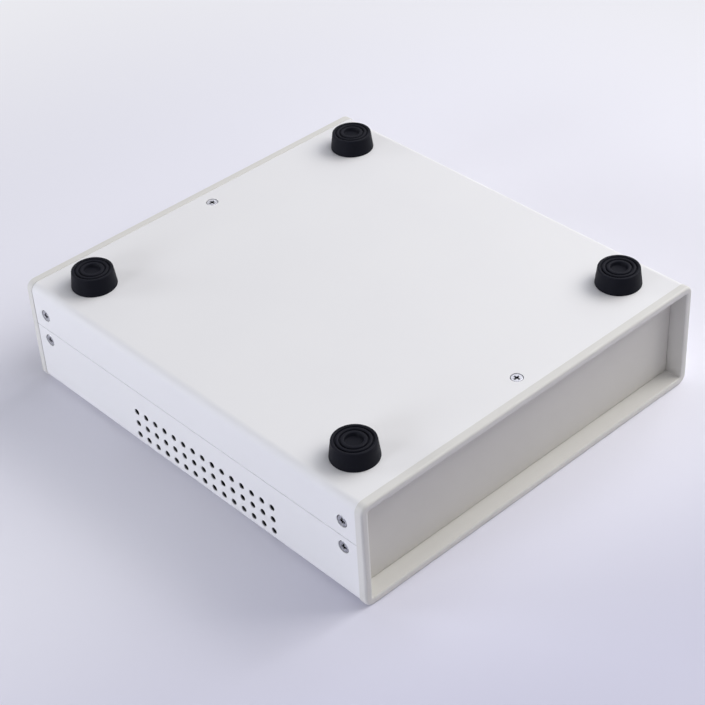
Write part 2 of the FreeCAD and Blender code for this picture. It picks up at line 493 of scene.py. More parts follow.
    def mark_painted_shade_depth(self, bm: BMesh) -> None:
        """Mark how deep in the sheet each point lies, for the painted shade inside the case: 0 outside, 1
        on the case's inside.

        Args:
            bm: The finished shell.
        """
        # The mark darkens the coat to painted shade inside the case and down the vents' walls
        mark = bm.verts.layers.float.new(PAINTED_SHADE_DEPTH)
        radius = self.sizes.bend_radius
        for vert in bm.verts:
            from_side = self.sizes.shell_half_width - abs(vert.co.x)
            from_plate = abs(vert.co.z - self.face_z)
            depth = min(from_side, from_plate)
            if max(from_side, from_plate) < radius:
                depth = radius - math.hypot(radius - from_side, radius - from_plate)
            vert[mark] = min(1.0, depth / self.sizes.sheet)

    def build(self, material: bpy.types.Material) -> bpy.types.Object:
        """Make the shell with its holes and dress it.

        Args:
            material: Finish of the sheet.

        Returns:
            The finished piece.
        """
        bm = self.folded_sheet()
        holes = self.holes()
        for outward in {tuple(hole.outward) for hole in holes}:
            self.drill(bm, [hole for hole in holes if tuple(hole.outward) == outward])
        close_up(bm)
        self.extras(bm)
        self.mark_painted_shade_depth(bm)
        return show(bm, self.piece_name, material, self.node)


@dataclass
class BaseShell(FoldedShell):
    """Shallow shell that carries the feet, with a strip welded behind each seam."""

    foot_hole_rings: tuple[tuple[float, float], ...] = ((mm(2.5), 0.0), (mm(2.5), mm(1.2)))
    foot_hole_sides: int = 32
    strip_end_gap: float = mm(1.0)
    strip_edge_round: float = mm(0.2)

    def holes(self) -> list[Hole]:
        """Countersinks in plate and legs, and the holes that hold the feet.

        Returns:
            The holes of the feet, then those of the screws.
        """
        feet = [
            Hole(site.point, site.outward, self.foot_hole_rings, self.foot_hole_sides)
            for site in sites("foot_", self.sizes)
        ]
        return feet + self.screw_holes("screw_base_plate") + self.screw_holes("screw_base_leg")

    def extras(self, bm: BMesh) -> None:
        """Weld a strip behind each seam, to close the gap between the shells.

        Args:
            bm: The drilled sheet.
        """
        half_height = self.sizes.base_edge_z - self.sizes.backing_low_z
        half_length = self.sizes.bezel_back - self.strip_end_gap
        size = (self.sizes.sheet, 2 * half_length, 2 * half_height)
        for sign in (-1, 1):
            # One sheet of leg and half a sheet of strip lie outside the strip's middle
            x = sign * (self.sizes.shell_half_width - 1.5 * self.sizes.sheet)
            place = Matrix.Translation((x, 0, self.sizes.base_edge_z)) @ Matrix.Diagonal((*size, 1))
            strip = bmesh.ops.create_cube(bm, size=1, matrix=place)
            round_off(bm, edges_among(strip["verts"]), self.strip_edge_round, 2)


@dataclass
class TopCover(FoldedShell):
    """Deep shell with a field of ventilation holes in each leg."""

    vent_pitch: float = mm(6.4)
    vent_columns: int = 15
    vent_rows: int = 3
    vent_above_face: float = mm(6.3)
    vent_field_offset: float = mm(-9.8)
    vent_rings: tuple[tuple[float, float], ...] = (
        (mm(1.72), 0.0),
        (mm(1.61), mm(0.03)),
        (mm(1.53), mm(0.11)),
        (mm(1.5), mm(0.22)),
        (mm(1.5), mm(1.0)),
        (mm(1.58), mm(1.2)),
    )
    vent_sides: int = 28

    def holes(self) -> list[Hole]:
        """Countersinks in the legs and the ventilation holes.

        Returns:
            The vents of both legs, then the countersinks.
        """
        first_y = self.vent_field_offset - self.vent_pitch * (self.vent_columns - 1) / 2
        first_z = self.face_z + self.vent_above_face
        vents = []
        for sign in (-1, 1):
            for row in range(self.vent_rows):
                for column in range(self.vent_columns):
                    y = first_y + column * self.vent_pitch
                    z = first_z + row * self.vent_pitch
                    point = Vector((sign * self.sizes.shell_half_width, y, z))
                    vents.append(Hole(point, Vector((sign, 0, 0)), self.vent_rings, self.vent_sides))
        return vents + self.screw_holes("screw_cover_leg")


# Bezel mouldings and their panels


@dataclass(frozen=True)
class Station:
    """Outline of a moulding at one depth: a rectangle with round corners.

    from_front is how far it lies behind the front face, and edge_round is the radius
    of the round that the moulding has along it.
    """

    half_width: float
    half_height: float
    radius: float
    from_front: float
    edge_round: float = 0.0
    edge_steps: int = 2

    def inset(self, by: float, radius: float | None = None, **changes: float) -> "Station":
        """Same outline drawn in by a distance.

        Args:
            by: Distance on every side.
            radius: Corner radius, or None to keep the corners concentric.
            **changes: Other fields that differ.

        Returns:
            The new outline, with no round of its own unless one is given.
        """
        values = {"from_front": self.from_front, **changes}
        return Station(
            self.half_width - by,
            self.half_height - by,
            self.radius - by if radius is None else radius,
            **values,
        )


@dataclass
class OutlineStack:
    """Mesh that runs through a row of outlines, one after another."""

    sizes: CaseSizes
    corner_steps: int = 12

    def first_loop(self, bm: BMesh, station: Station) -> list[BMEdge]:
        """Draw an outline as a loop of edges.

        Args:
            bm: Mesh that receives it.
            station: Outline to draw.

        Returns:
            The edges of the loop.
        """
        y = station.from_front - self.sizes.half_depth
        place = Matrix.Translation((0, y, self.sizes.middle_z)) @ Matrix.Rotation(math.pi / 2, 4, "X")
        spread = Matrix.Diagonal((station.half_width, station.half_height, 1, 1))
        grid = bmesh.ops.create_grid(bm, x_segments=1, y_segments=1, size=1, matrix=place @ spread)
        round_off(bm, grid["verts"], station.radius, self.corner_steps, "VERTICES")
        face = next(f for f in bm.faces if abs(f.verts[0].co.y - y) < SAME_POINT)
        edges = list(face.edges)
        bmesh.ops.delete(bm, geom=[face], context="FACES_ONLY")
        return edges

    def reshape(self, verts: Iterable[BMVert], old: Station, new: Station) -> None:
        """Move the vertices of a loop from one outline to another.

        Args:
            verts: Vertices that lie on the old outline.
            old: Outline that they lie on.
            new: Outline that they go to.
        """
        for vert in verts:
            across = math.copysign(1, vert.co.x)
            upward = math.copysign(1, vert.co.z - self.sizes.middle_z)
            turn_x = vert.co.x - across * (old.half_width - old.radius)
            turn_z = vert.co.z - self.sizes.middle_z - upward * (old.half_height - old.radius)
            share = new.radius / old.radius
            vert.co.x = across * (new.half_width - new.radius) + turn_x * share
            vert.co.z = self.sizes.middle_z + upward * (new.half_height - new.radius) + turn_z * share
            vert.co.y = new.from_front - self.sizes.half_depth

    def build(self, bm: BMesh, stations: Sequence[Station]) -> None:
        """Run a closed ring of wall through the outlines and round its edges.

        Args:
            bm: Mesh that receives the wall.
            stations: Outlines in order; the wall returns from the last to the first.
        """
        loop = self.first_loop(bm, stations[0])
        loops = [loop]
        for old, new in zip(stations, stations[1:]):
            verts = grown_verts(bmesh.ops.extrude_edge_only(bm, edges=loop))
            self.reshape(verts, old, new)
            loop = edges_among(verts)
            loops.append(loop)
        bmesh.ops.bridge_loops(bm, edges=loops[0] + loops[-1])
        bmesh.ops.recalc_face_normals(bm, faces=bm.faces)
        for station, edges in zip(stations, loops):
            if station.edge_round > 0:
                whole = [edge for edge in edges if edge.is_valid]
                round_off(bm, whole, station.edge_round, station.edge_steps)


@dataclass
class Bezel:
    """Moulded frame with a rounded rim, a drafted recess, a ledge and a spigot."""

    sizes: CaseSizes
    band_depth: float = mm(4.0)
    band_rear_round: float = mm(0.28)
    rim_wall: float = mm(3.6)
    rim_edge_round: float = mm(1.2)
    lip_width: float = mm(0.8)
    lip_depth: float = mm(0.35)
    mouth_corner_radius: float = mm(0.7)
    recess_depth: float = mm(8.2)
    recess_draft: float = math.radians(2.0)
    panel_thickness: float = mm(1.5)
    ledge_width: float = mm(2.5)
    ledge_thickness: float = mm(2.0)
    spigot_clearance: float = mm(0.1)
    spigot_wall: float = mm(2.0)
    spigot_reach: float = mm(12.5)
    spigot_lead_in: float = mm(0.5)
    hidden_corner_radius: float = mm(0.7)
    small_edge_round: float = mm(0.2)
    lug_radius: float = mm(3.5)
    lug_reach: float = mm(9.45)
    lug_sides: int = 32

    @property
    def band(self) -> Station:
        """Outline of the band that shows outside."""
        return Station(self.sizes.half_width, self.sizes.half_height, self.sizes.corner_radius, 0.0)

    @property
    def mouth(self) -> Station:
        """Outline of the recess where it opens in the rim."""
        return self.band.inset(self.rim_wall, self.mouth_corner_radius)

    @property
    def pocket(self) -> Station:
        """Outline of the recess at its back, where the panel sits."""
        taper = self.recess_depth * math.tan(self.recess_draft)
        return self.mouth.inset(taper, from_front=self.recess_depth)

    @property
    def spigot(self) -> Station:
        """Outline of the part that slips into the shells."""
        inset = self.sizes.half_width - self.sizes.shell_half_width
        return self.band.inset(inset + self.sizes.sheet + self.spigot_clearance)

    def stations(self) -> list[Station]:
        """Outlines round the moulding's wall, from the band's rear edge forward.

        Returns:
            The outlines in order, ending where the spigot meets the band.
        """
        band, mouth, pocket, spigot = self.band, self.mouth, self.pocket, self.spigot
        ledge_front = self.recess_depth + self.panel_thickness
        ledge_rear = ledge_front + self.ledge_thickness
        spigot_rear = self.band_depth + self.spigot_reach
        hollow = spigot.inset(self.spigot_wall, self.hidden_corner_radius)
        window = pocket.inset(self.ledge_width, self.hidden_corner_radius)
        small = {"edge_round": self.small_edge_round}
        return [
            band.inset(0, from_front=self.band_depth, edge_round=self.band_rear_round, edge_steps=3),
            band.inset(0, edge_round=self.rim_edge_round, edge_steps=8),
            mouth.inset(-self.lip_width, **small),
            mouth.inset(0, from_front=self.lip_depth, **small),
            pocket.inset(0, from_front=self.recess_depth),
            pocket.inset(0, from_front=ledge_front),
            window.inset(0, from_front=ledge_front, **small),
            window.inset(0, from_front=ledge_rear, **small),
            hollow.inset(0, from_front=ledge_rear),
            hollow.inset(0, from_front=spigot_rear, **small),
            spigot.inset(self.spigot_lead_in, from_front=spigot_rear),
            spigot.inset(0, from_front=spigot_rear - self.spigot_lead_in),
            spigot.inset(0, from_front=self.band_depth),
        ]

    def side_lug(self, bm: BMesh, sign: int) -> None:
        """Add the round-ended block that holds two side screws.

        Args:
            bm: The moulding.
            sign: Side of the case along X.
        """
        upper = node_middle("screw_base_leg_left_front")
        lower = node_middle("screw_cover_leg_left_front")
        centre_z = (upper.z + lower.z) / 2
        inner_x = self.sizes.shell_half_width - self.lug_reach
        outer_x = self.spigot.half_width - self.spigot_wall / 2
        place = facing(Vector((sign, 0, 0)), Vector((sign * inner_x, upper.y, centre_z)))
        disc = bmesh.ops.create_circle(
            bm, cap_ends=True, radius=self.lug_radius, segments=self.lug_sides, matrix=place
        )
        for vert in disc["verts"]:
            vert.co.z += math.copysign((upper.z - lower.z) / 2, vert.co.z - centre_z)
        self.grow_lug(bm, disc["verts"], Vector((sign * (outer_x - inner_x), 0, 0)))

    def base_lug(self, bm: BMesh) -> None:
        """Add the round boss that holds the base plate's screw.

        Args:
            bm: The moulding.
        """
        screw = node_middle("screw_base_plate_front")
        bottom = Vector((0, screw.y, self.sizes.base_face_z - self.lug_reach))
        top_z = self.sizes.middle_z + self.spigot.half_height - self.spigot_wall / 2
        disc = bmesh.ops.create_circle(
            bm,
            cap_ends=True,
            radius=self.lug_radius,
            segments=self.lug_sides,
            matrix=facing(UP, bottom),
        )
        self.grow_lug(bm, disc["verts"], Vector((0, 0, top_z - bottom.z)))

    def grow_lug(self, bm: BMesh, verts: Sequence[BMVert], reach: Vector) -> None:
        """Extrude a capped outline of a lug into the spigot's wall.

        Args:
            bm: The moulding.
            verts: Vertices of the outline's cap.
            reach: Way from the cap into the wall.
        """
        cap = next(f for f in verts[0].link_faces)
        far = grown_verts(bmesh.ops.extrude_face_region(bm, geom=[cap]))
        bmesh.ops.translate(bm, verts=far, vec=reach)

    def build(self, end: End, material: bpy.types.Material) -> bpy.types.Object:
        """Make one bezel and dress it.

        Args:
            end: End of the case that it closes.
            material: Finish of the moulding.

        Returns:
            The finished piece.
        """
        bm = bmesh.new()
        OutlineStack(self.sizes).build(bm, self.stations())
        for sign in (-1, 1):
            self.side_lug(bm, sign)
        self.base_lug(bm)
        close_up(bm)
        turn_to(bm, end)
        return show(bm, f"moulded_{end.word}_bezel", material, f"{end.word}_bezel")


def turn_to(bm: BMesh, end: End) -> None:
    """Turn a piece that was made for the front half round, when it is for the rear.

    Args:
        bm: The piece, in its place at the front.
        end: End of the case that it is for.
    """
    if end is End.REAR:
        bmesh.ops.rotate(bm, verts=bm.verts, cent=(0, 0, 0), matrix=Matrix.Rotation(math.pi, 3, "Z"))


@dataclass
class Panel:
    """Plain plate pressed into the recess against the ledge."""

    bezel: Bezel
    clearance: float = mm(0.3)
    corner_radius: float = mm(0.5)
    edge_break: float = mm(0.25)

    def build(self, end: End, material: bpy.types.Material) -> bpy.types.Object:
        """Make one panel and dress it.

        Args:
            end: End of the case that it closes.
            material: Finish of the plate.

        Returns:
            The finished piece.
        """
        bm = bmesh.new()
        front = self.bezel.pocket.inset(self.clearance, self.corner_radius)
        outline = OutlineStack(self.bezel.sizes).first_loop(bm, front)
        plate = bmesh.ops.contextual_create(bm, geom=outline)["faces"]
        far = grown_verts(bmesh.ops.extrude_face_region(bm, geom=plate))
        bmesh.ops.translate(bm, verts=far, vec=(0, self.bezel.panel_thickness, 0))
        close_up(bm)
        rims = [e for e in bm.edges if abs(e.verts[0].co.y - e.verts[1].co.y) < SAME_PLANE]
        round_off(bm, rims, self.edge_break, 2)
        turn_to(bm, end)
        return show(bm, f"pressed_{end.word}_panel", material, f"{end.word}_panel")


# Turned forms: feet and screws


@dataclass(frozen=True)
class Corner:
    """Corner of a turned form's profile, with the radius that rounds it."""

    radius: float
    z: float
    edge_round: float = 0.0
    steps: int = 3


def turn_profile(bm: BMesh, corners: Sequence[Corner], sides: int) -> None:
    """Turn a profile round the Z axis.

    Args:
        bm: Empty mesh that receives the form.
        corners: Corners in (radius, z), from one end of the profile to the other.
        sides: Steps in the full turn.
    """
    chain = [bm.verts.new((corner.radius, 0, corner.z)) for corner in corners]
    for start, end in zip(chain, chain[1:]):
        bm.edges.new((start, end))
    for vert, corner in zip(chain, corners):
        if corner.edge_round > 0:
            round_off(bm, [vert], corner.edge_round, corner.steps, "VERTICES")
    bmesh.ops.spin(
        bm,
        geom=list(bm.verts) + list(bm.edges),
        cent=(0, 0, 0),
        axis=(0, 0, 1),
        angle=2 * math.pi,
        steps=sides,
        use_merge=True,
    )
    bmesh.ops.remove_doubles(bm, verts=bm.verts, dist=SAME_POINT)


def keep_plan_position(bm: BMesh) -> None:
    """Keep where each point lies in plan, in millimetres, as the piece's UV map.

    Args:
        bm: A turned form whose axis is still Z.
    """
    plan = bm.loops.layers.uv.new(PLAN_MAP)
    for face in bm.faces:
        for loop in face.loops:
            loop[plan].uv = loop.vert.co.xy * PLAN_SCALE


@dataclass
class Foot:
    """Round rubber foot with a ringed face, and a barbed stem through the plate."""

    sizes: CaseSizes
    radius: float = mm(10.5)
    face_radius: float = mm(9.45)
    height: float = mm(8.4)
    edge_break: float = mm(0.5)
    groove_radii: tuple[float, float] = (mm(7.75), mm(5.8))
    groove_half_width: float = mm(0.5)
    groove_depth: float = mm(0.85)
    groove_edge_round: float = mm(0.35)
    recess_radius: float = mm(4.0)
    recess_floor_radius: float = mm(3.55)
    recess_depth: float = mm(1.6)
    recess_edge_round: float = mm(0.35)
    stem_radius: float = mm(2.4)
    barb_radius: float = mm(3.2)
    barb_land: float = mm(0.8)
    barb_length: float = mm(3.2)
    barb_tip_radius: float = mm(1.5)
    tip_round: float = mm(0.3)
    barb_edge_round: float = mm(0.15)
    small_edge_round: float = mm(0.2)
    sides: int = 96

    def grooves(self) -> list[Corner]:
        """Corners of the narrow grooves between the rings of the face, from outside in.

        Returns:
            Four corners for each groove.
        """
        corners = []
        for radius in self.groove_radii:
            corners += [
                Corner(radius + self.groove_half_width, self.height, self.groove_edge_round),
                Corner(radius + self.groove_half_width / 3, self.height - self.groove_depth),
                Corner(radius - self.groove_half_width / 3, self.height - self.groove_depth),
                Corner(radius - self.groove_half_width, self.height, self.groove_edge_round),
            ]
        return corners

    def profile(self) -> list[Corner]:
        """Corners from the stem's tip, out along the base and up over the face.

        Returns:
            The corners, from the axis and back to it.
        """
        sheet = self.sizes.sheet
        tip = -sheet - self.barb_length
        floor = self.height - self.recess_depth
        return [
            Corner(0, tip),
            Corner(self.barb_tip_radius, tip, self.tip_round),
            Corner(self.barb_radius, -sheet - self.barb_land),
            Corner(self.barb_radius, -sheet, self.barb_edge_round),
            Corner(self.stem_radius, -sheet),
            Corner(self.stem_radius, 0),
            Corner(self.radius, 0, self.small_edge_round),
            Corner(self.face_radius, self.height, self.edge_break, 5),
            *self.grooves(),
            Corner(self.recess_radius, self.height, self.recess_edge_round, 4),
            Corner(self.recess_floor_radius, floor, self.small_edge_round),
            Corner(0, floor),
        ]

    def build(self, site: Site, material: bpy.types.Material) -> bpy.types.Object:
        """Make one foot and dress it.

        Args:
            site: Place of the foot on the base plate.
            material: Finish of the rubber.

        Returns:
            The finished piece.
        """
        bm = bmesh.new()
        turn_profile(bm, self.profile(), self.sides)
        keep_plan_position(bm)
        close_up(bm)
        bmesh.ops.transform(bm, matrix=facing(site.outward, site.point), verts=bm.verts)
        return show(bm, f"ringed_{site.node}", material, site.node)


@dataclass
class Screw:
    """Countersunk machine screw with a cross recess, its head just below the sheet."""

    radius: float = mm(1.5)
    length: float = mm(8.0)
    head_radius: float = mm(2.55)
    head_land: float = mm(0.1)
    head_edge_round: float = mm(0.12)
    sunk: float = mm(0.2)
    point: float = mm(0.5)
    cross_span: float = mm(3.3)
    cross_slot: float = mm(0.95)
    cross_floor_span: float = mm(1.5)
    cross_floor_slot: float = mm(0.5)
    cross_depth: float = mm(1.6)
    sides: int = 48

    def profile(self) -> list[Corner]:
        """Corners from the tip up the shank and the cone to the edge of the flat top.

        Returns:
            The corners, ending at the ring that the recess is cut in.
        """
        top = -self.sunk
        cone_top = top - self.head_land
        cone_bottom = cone_top - (self.head_radius - self.radius)
        tip = top - self.length
        return [
            Corner(0, tip),
            Corner(self.radius - self.point, tip),
            Corner(self.radius, tip + self.point),
            Corner(self.radius, cone_bottom),
            Corner(self.head_radius, cone_top),
            Corner(self.head_radius, top, self.head_edge_round, 3),
            Corner(self.head_radius - 2 * self.head_edge_round, top),
        ]

    def cut_cross(self, bm: BMesh) -> None:
        """Close the top of the head round a tapered cross recess.

        Args:
            bm: The turned screw, open at the top.
        """
        mark = bm.verts.layers.float.new(PAINTED_SHADE_DEPTH)
        rim = [e for e in bm.edges if e.is_boundary]
        place = Matrix.Translation((0, 0, -self.sunk))
        grid = bmesh.ops.create_grid(bm, x_segments=3, y_segments=3, size=1, matrix=place)["verts"]
        for vert in grid:
            for axis in (0, 1):
                reach = self.cross_span if abs(vert.co[axis]) > 0.9 else self.cross_slot
                vert.co[axis] = math.copysign(reach / 2, vert.co[axis])
        squares = {f for v in grid for f in v.link_faces}
        slot_half = self.cross_slot / 2
        corners = [f for f in squares if min(map(abs, f.calc_center_median().xy)) > slot_half]
        arms = squares - set(corners)
        bmesh.ops.delete(bm, geom=corners, context="FACES")
        outline = [e for e in {e for f in arms for e in f.edges} if e.is_boundary]
        bmesh.ops.triangle_fill(bm, use_beauty=True, edges=rim + outline, normal=UP)
        floor = grown_verts(bmesh.ops.extrude_face_region(bm, geom=list(arms), use_keep_orig=True))
        bmesh.ops.delete(bm, geom=list(arms), context="FACES")
        # The recess floor is marked for painted shade, which fades up the recess walls
        for vert in floor:
            vert[mark] = 1.0
            for axis in (0, 1):
                outer = abs(vert.co[axis]) > slot_half * 1.5
                reach = self.cross_floor_span if outer else self.cross_floor_slot
                vert.co[axis] = math.copysign(reach / 2, vert.co[axis])
            vert.co.z -= self.cross_depth

    def build(self, site: Site, material: bpy.types.Material) -> bpy.types.Object:
        """Make one screw and dress it.

        Args:
            site: Place of the screw on the shell.
            material: Finish of the steel.

        Returns:
            The finished piece.
        """
        bm = bmesh.new()
        turn_profile(bm, self.profile(), self.sides)
        self.cut_cross(bm)
        keep_plan_position(bm)
        close_up(bm)
        bmesh.ops.transform(bm, matrix=facing(site.outward, site.point), verts=bm.verts)
        return show(bm, f"cross_head_{site.node}", material, site.node)


# Finishes


@dataclass(frozen=True)
class Grain:
    """Fine relief of a surface: the size of its features, and their height."""

    size: float
    height: float
    detail: float = 2.0


@dataclass(frozen=True)
class Finish:
    """Surface with a soft tone variation, a roughness range and one or two reliefs, and painted shade in
    its deep places when a shade tone is given.
    """

    name: str
    light: str
    dark: str
    cloud_size: float
    roughness: tuple[float, float]
    grains: tuple[Grain, ...]
    metallic: float = 0.0
    specular: float = 0.5
    painted_shade_tone: str | None = None
    painted_shade_range: tuple[float, float] = (0.0, 1.0)

    def noise(self, tree: bpy.types.NodeTree, place: bpy.types.NodeSocket, grain: Grain) -> bpy.types.Node:
        """Noise whose features have a real size.

        Args:
            tree: Tree of the material.
            place: Object coordinates.
            grain: Size and detail of the features.

        Returns:
            The noise node.
        """
        inputs = {"Vector": place, "Scale": 1 / grain.size, "Detail": grain.detail, "Roughness": 0.5}
        return add_node(tree, "ShaderNodeTexNoise", inputs=inputs)

    def extra_relief(
        self, tree: bpy.types.NodeTree, normal: bpy.types.NodeSocket | None
    ) -> bpy.types.NodeSocket | None:
        """Add relief that follows the surface; a plain finish has none."""
        return normal

    def with_painted_shade(self, tree: bpy.types.NodeTree, tone: bpy.types.NodeSocket) -> bpy.types.NodeSocket:
        """Change the tone to the painted shade tone where the piece's depth mark asks for it, as painted
        shade in deep places.

        Args:
            tree: Tree of the material.
            tone: Tone of the open surface.

        Returns:
            The tone with painted shade in the deep places.
        """
        # Painted shade: the tone darkens where the depth mark says a place lies deep inside
        if self.painted_shade_tone is None:
            return tone
        low, high = self.painted_shade_range
        mark = add_node(tree, "ShaderNodeAttribute", {"attribute_name": PAINTED_SHADE_DEPTH}).outputs["Fac"]
        inputs = {"Value": mark, "From Min": low, "From Max": high}
        share = add_node(tree, "ShaderNodeMapRange", inputs=inputs).outputs["Result"]
        return blend(tree, share, tone, linear(self.painted_shade_tone))

    def material(self) -> bpy.types.Material:
        """Build the material.

        Returns:
            A material with one Principled surface.
        """
        made = bpy.data.materials.new(self.name)
        made.use_nodes = True
        tree = made.node_tree
        tree.nodes.clear()
        place = add_node(tree, "ShaderNodeTexCoord").outputs["Object"]
        cloud = self.noise(tree, place, Grain(self.cloud_size, 0, 3.0)).outputs["Fac"]
        tone = blend(tree, cloud, linear(self.dark), linear(self.light))
        low, high = self.roughness
        thin, thick = CLOUD_SPAN
        rough = add_node(
            tree,
            "ShaderNodeMapRange",
            inputs={"Value": cloud, "From Min": thin, "From Max": thick, "To Min": low, "To Max": high},
        )
        normal = None
        for grain in self.grains:
            inputs = {
                "Height": self.noise(tree, place, grain).outputs["Fac"],
                "Distance": grain.height,
                "Strength": 1.0,
            }
            if normal:
                inputs["Normal"] = normal
            normal = add_node(tree, "ShaderNodeBump", inputs=inputs).outputs["Normal"]
        normal = self.extra_relief(tree, normal)
        surface = add_node(
            tree,
            "ShaderNodeBsdfPrincipled",
            inputs={
                "Base Color": self.with_painted_shade(tree, tone),
                "Roughness": rough.outputs["Result"],
                "Metallic": self.metallic,
                "Specular IOR Level": self.specular,
                "Normal": normal,
            },
        )
        add_node(tree, "ShaderNodeOutputMaterial", inputs={"Surface": surface.outputs["BSDF"]})
        return made


@dataclass(frozen=True)
class TurnedFinish(Finish):
    """Finish with fine rings round the axis of a turned or moulded round piece."""

    ring_pitch: float = 0.25
    ring_height: float = mm(0.001)

    def extra_relief(
        self, tree: bpy.types.NodeTree, normal: bpy.types.NodeSocket | None
    ) -> bpy.types.NodeSocket | None:
        """Add the rings, drawn in plan in millimetres.

        Args:
            tree: Tree of the material.
            normal: Normal that the relief starts from.

        Returns:
            The normal with the rings in it.
        """
        plan = add_node(tree, "ShaderNodeUVMap", {"uv_map": PLAN_MAP}).outputs["UV"]
        # Twenty radians of wave to a unit of scale is how the texture counts its rings
        scale = 2 * math.pi / (20 * self.ring_pitch)
        rings = add_node(
            tree,
            "ShaderNodeTexWave",
            {"wave_type": "RINGS", "rings_direction": "Z"},
            {"Vector": plan, "Scale": scale, "Distortion": 0.4, "Detail": 1.0},
        )
        inputs = {"Height": rings.outputs["Fac"], "Distance": self.ring_height, "Normal": normal}
        return add_node(tree, "ShaderNodeBump", inputs=inputs).outputs["Normal"]


# Baked powder coat on steel: a satin off-white skin whose faint orange peel breaks up the
# gloss; inside the case it turns to a near-black painted shade, so the vents read as near black
POWDER_COAT = Finish(
    name="powder_coated_steel_baked_satin",
    light="#eae9ea",
    dark="#e6e5e7",
    cloud_size=mm(45),
    roughness=(0.52, 0.58),
    grains=(Grain(mm(1.1), mm(0.005)), Grain(mm(0.45), mm(0.0015))),
    # Painted shade: near-black tone over the sheet's inside and the inner part of the hole walls
    painted_shade_tone="#2e2f31",
    painted_shade_range=(0.1, 0.6),
)

# Moulded ABS from a spark-eroded tool: warmer than the coat, and evenly dull to the eye
MOULDED_ABS = Finish(
    name="abs_plastic_spark_textured",
    light="#dad8d4",
    dark="#d5d3cf",
    cloud_size=mm(30),
    roughness=(0.5, 0.58),
    grains=(Grain(mm(0.5), mm(0.004)),),
)

# Blasted and clear-anodised aluminium: a soft grey that catches light without a mirror
ANODISED = Finish(
    name="aluminium_blasted_and_anodised",
    light="#d6d3cd",
    dark="#d0cdc7",
    cloud_size=mm(18),
    roughness=(0.5, 0.56),
    grains=(Grain(mm(0.4), mm(0.004)),),
)

# Moulded rubber: near black with a dull bloom, and the faint rings of its turned mould
RUBBER = TurnedFinish(
    name="rubber_moulded_matt",
    light="#0e0f19",
    dark="#05060e",
    cloud_size=mm(2.5),
    roughness=(0.5, 0.62),
    grains=(Grain(mm(0.4), mm(0.01)),),
    specular=0.1,
    ring_pitch=0.5,
    ring_height=mm(0.004),
)

# Zinc-plated steel: bright, with the lathe's fine rings across the head and painted shade in the cross
# recess
PLATED_STEEL = TurnedFinish(
    name="steel_turned_and_zinc_plated",
    light="#d3d3d7",
    dark="#b2b3b9",
    cloud_size=mm(1.2),
    roughness=(0.22, 0.34),
    grains=(Grain(mm(0.3), mm(0.002)),),
    metallic=1.0,
    # Painted shade: near-black tone down into the cross recess
    painted_shade_tone="#1b1b1d",
    painted_shade_range=(0.0, 0.45),
    ring_pitch=0.28,
    ring_height=mm(0.008),
)


# Studio


@dataclass(frozen=True)
class SoftLamp:
    """Square soft lamp that points at the origin of the frame."""

    name: str
    place: tuple[float, float, float]
    size: float
    power: float
    colour: str

    def build(self) -> bpy.types.Object:
        """Make the lamp.

        Returns:
            The lamp's object.
        """
        data = bpy.data.lights.new(self.name, "AREA")
        data.shape = "SQUARE"
        data.size = self.size
        data.energy = self.power
        data.color = linear(self.colour)[:3]
        lamp = bpy.data.objects.new(self.name, data)
        lamp.matrix_world = facing(Vector(self.place), Vector(self.place))
        bpy.context.scene.collection.objects.link(lamp)
        return lamp


